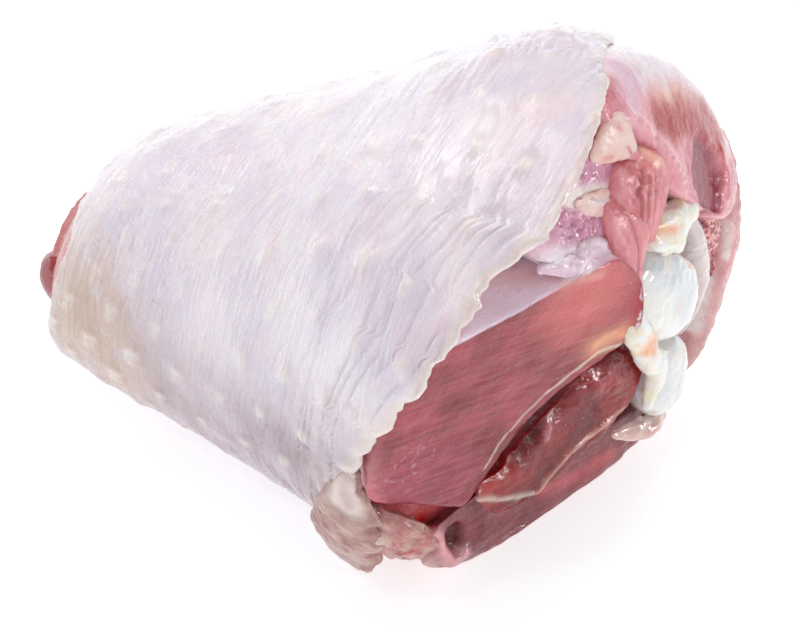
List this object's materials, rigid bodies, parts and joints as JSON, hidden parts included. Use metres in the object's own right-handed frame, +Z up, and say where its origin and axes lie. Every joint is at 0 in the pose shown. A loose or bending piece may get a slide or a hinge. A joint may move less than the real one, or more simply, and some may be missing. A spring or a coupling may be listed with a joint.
{
  "type": "turkey leg",
  "caption": "Raw fowl leg with its skin on, cut through the knee so that the muscles, fat, cartilage and bone end show, lying on its side.",
  "frame": {"origin": "middle of the underside of the bounding box, on the table", "axes": "+X along the leg from the narrow ankle end to the wide knee end, +Y to the side away from the big cut muscle, +Z up"},
  "size_m": [0.1208, 0.1052, 0.0986],
  "materials": {
    "skin": "damp, pale pink with a lilac cast",
    "meat": "wet, deep pink-red, glossy",
    "pale_meat": "wet, greyed pink, glossy",
    "fat": "waxy cream",
    "fascia": "wet translucent film",
    "cartilage": "smooth, wet, bluish white",
    "bone": "satin",
    "marrow": "damp, dark red and porous",
    "ligament": "wet, yellowish"
  },
  "bodies": {
    "root": {"skin": "skin", "tibia": "bone", "cartilage_upper": "cartilage", "cartilage_lower": "cartilage", "kneecap": "marrow", "knee_rim": "cartilage", "ligament_top": "ligament", "ligament_side": "ligament", "fat_fold": "fat", "calf_muscle": "meat", "inner_muscle": "meat", "tendon_flap": "cartilage", "strap_muscle": "meat", "fat_wedge": "fat", "fat_patch": "fat", "middle_muscle": "meat", "membrane": "fascia", "side_muscle": "pale_meat", "upper_muscle": "meat", "back_muscle": "meat", "under_muscle": "pale_meat", "fascia_fold": "fascia", "small_end_lobe": "meat", "leg_meat": "meat"}
  },
  "joints": []
}
